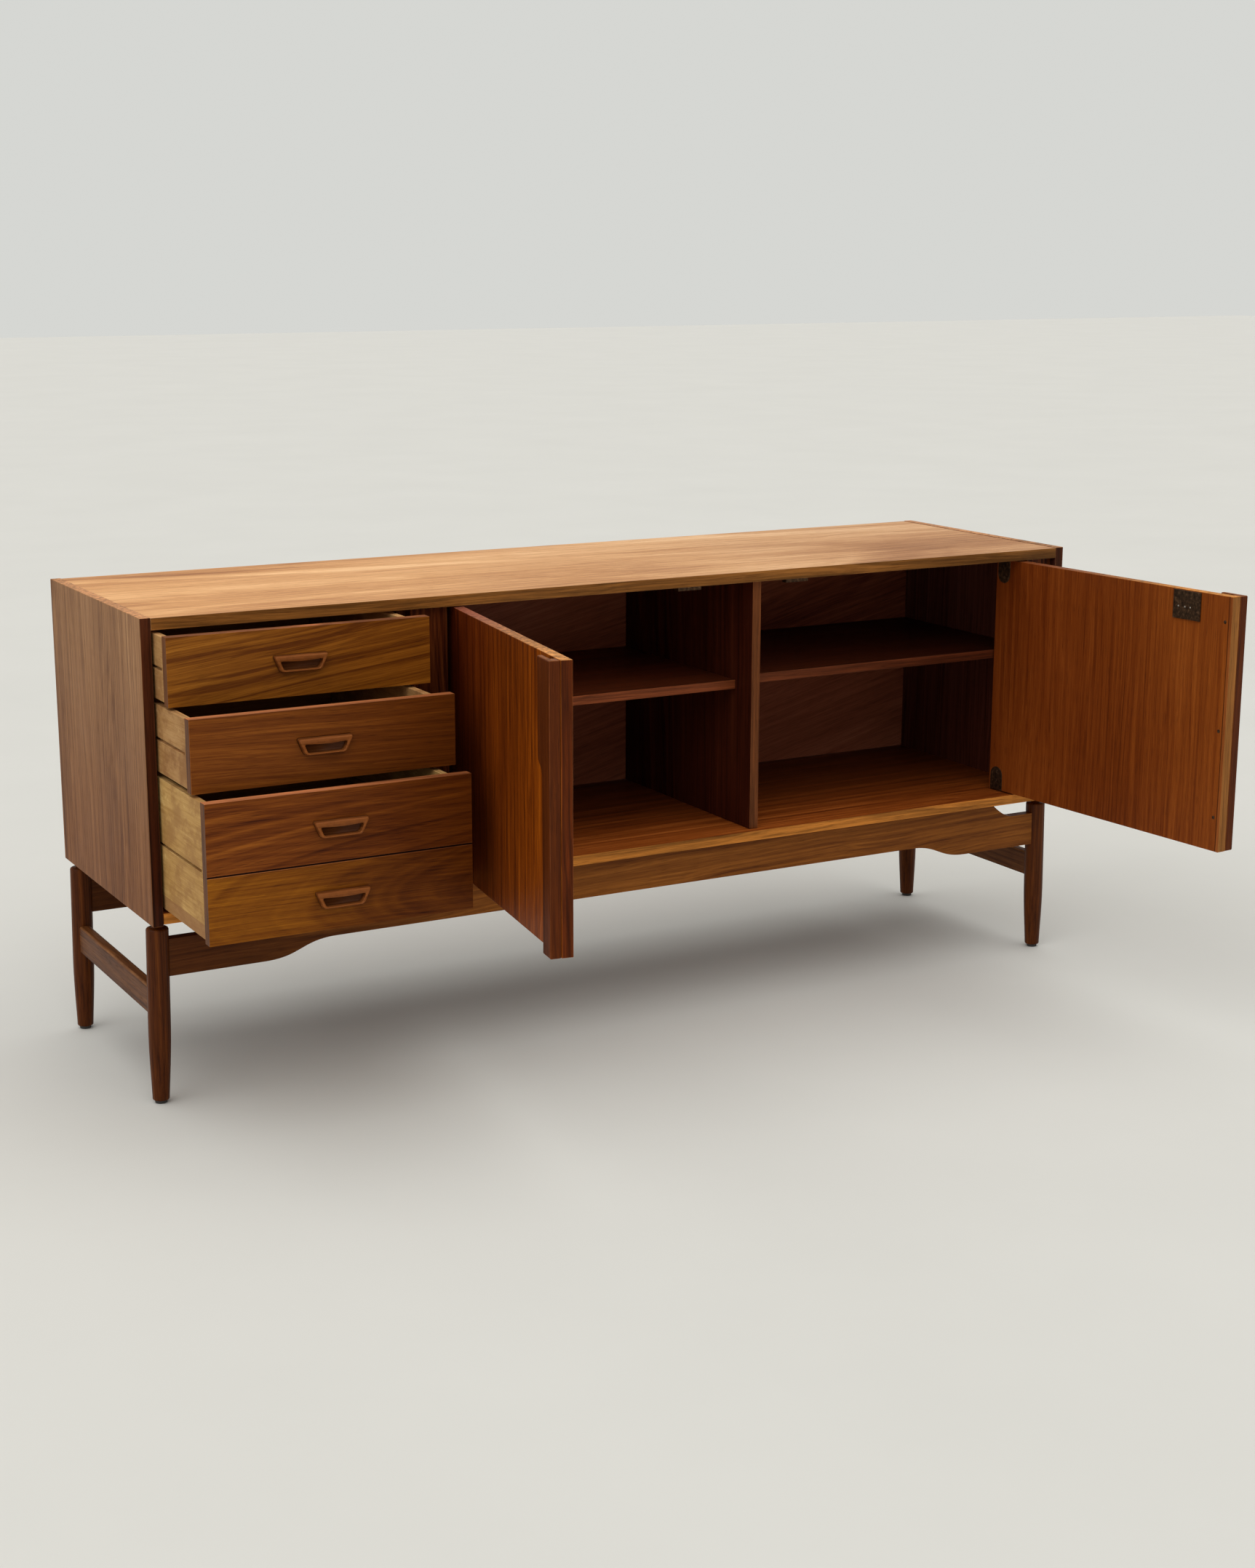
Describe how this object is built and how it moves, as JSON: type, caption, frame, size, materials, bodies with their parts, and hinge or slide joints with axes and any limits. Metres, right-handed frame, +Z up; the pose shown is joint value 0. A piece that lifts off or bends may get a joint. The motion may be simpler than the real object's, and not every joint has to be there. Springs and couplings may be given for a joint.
{
  "type": "sideboard",
  "caption": "Long low teak sideboard on turned legs, with drawers beside a pair of hinged door cupboards with shelves; drawers and doors stand part open.",
  "frame": {"origin": "on the floor, at the middle of the whole object's box with the drawers and doors part open as at rest", "axes": "+Z up; the front faces -Y; +X runs from the drawers towards the cupboards"},
  "size_m": [1.8522, 1.0338, 0.812],
  "materials": {
    "top_wood": "satin oil, faded, grain along X",
    "side_wood": "satin oil, greyed, grain along Z",
    "inside_wood": "satin oil",
    "front_wood": "satin oil, figured veneer, grain along X",
    "door_wood": "satin oil, straight veneer, grain along Z",
    "dark_wood": "satin oil, solid",
    "rail_wood": "satin oil, solid",
    "pale_wood": "matte, bare",
    "bronze": "dark patinated",
    "glide": "matte"
  },
  "bodies": {
    "case": {"side_panel_left": "side_wood", "side_panel_right": "side_wood", "top_board": "top_wood", "bottom_board": "inside_wood", "drawer_divider": "inside_wood", "centre_divider": "inside_wood", "stile_left": "inside_wood", "stile_right": "inside_wood", "back_panel": "inside_wood", "shelf_left": "inside_wood", "shelf_right": "inside_wood", "drawer_top_runner_left": "pale_wood", "drawer_top_runner_right": "pale_wood", "drawer_middle_runner_left": "pale_wood", "drawer_middle_runner_right": "pale_wood", "drawer_deep_runner_left": "pale_wood", "drawer_deep_runner_right": "pale_wood", "leg_front_left": "dark_wood", "leg_front_right": "dark_wood", "leg_back_left": "dark_wood", "leg_back_right": "dark_wood", "glide_front_left": "glide", "glide_front_right": "glide", "glide_back_left": "glide", "glide_back_right": "glide", "stretcher_left": "dark_wood", "stretcher_right": "dark_wood", "rail_front": "rail_wood", "rail_back": "rail_wood", "door_left_catch_body": "bronze", "door_right_catch_body": "bronze"},
    "drawer_top": {"drawer_top_front": "front_wood", "drawer_top_side_left": "pale_wood", "drawer_top_side_right": "pale_wood", "drawer_top_bottom": "pale_wood", "drawer_top_back": "pale_wood", "drawer_top_handle": "dark_wood"},
    "drawer_middle": {"drawer_middle_front": "front_wood", "drawer_middle_side_left": "pale_wood", "drawer_middle_side_right": "pale_wood", "drawer_middle_bottom": "pale_wood", "drawer_middle_back": "pale_wood", "drawer_middle_handle": "dark_wood"},
    "drawer_deep": {"drawer_deep_front": "front_wood", "drawer_deep_side_left": "pale_wood", "drawer_deep_side_right": "pale_wood", "drawer_deep_bottom": "pale_wood", "drawer_deep_back": "pale_wood", "drawer_deep_handle_upper": "dark_wood", "drawer_deep_handle_lower": "dark_wood"},
    "door_left": {"door_left_panel": "door_wood", "door_left_pull": "dark_wood", "door_left_hinge_top": "bronze", "door_left_hinge_bottom": "bronze", "door_left_catch_plate": "bronze"},
    "door_right": {"door_right_panel": "door_wood", "door_right_pull": "dark_wood", "door_right_hinge_top": "bronze", "door_right_hinge_bottom": "bronze", "door_right_catch_plate": "bronze"}
  },
  "joints": [
    {"name": "drawer_top_slide", "type": "slide", "parent": "case", "child": "drawer_top", "axis": [0, -1, 0], "range_m": [-0.08, 0.25]},
    {"name": "drawer_middle_slide", "type": "slide", "parent": "case", "child": "drawer_middle", "axis": [0, -1, 0], "range_m": [-0.174, 0.156]},
    {"name": "drawer_deep_slide", "type": "slide", "parent": "case", "child": "drawer_deep", "axis": [0, -1, 0], "range_m": [-0.232, 0.098]},
    {"name": "door_left_hinge", "type": "hinge", "parent": "case", "child": "door_left", "pos_m": [-0.363, 0.06437, 0.561], "axis": [0, 0, -1], "range_deg": [-98.2, 1.8]},
    {"name": "door_right_hinge", "type": "hinge", "parent": "case", "child": "door_right", "pos_m": [0.823, 0.06437, 0.561], "axis": [0, 0, 1], "range_deg": [-94, 8]}
  ]
}
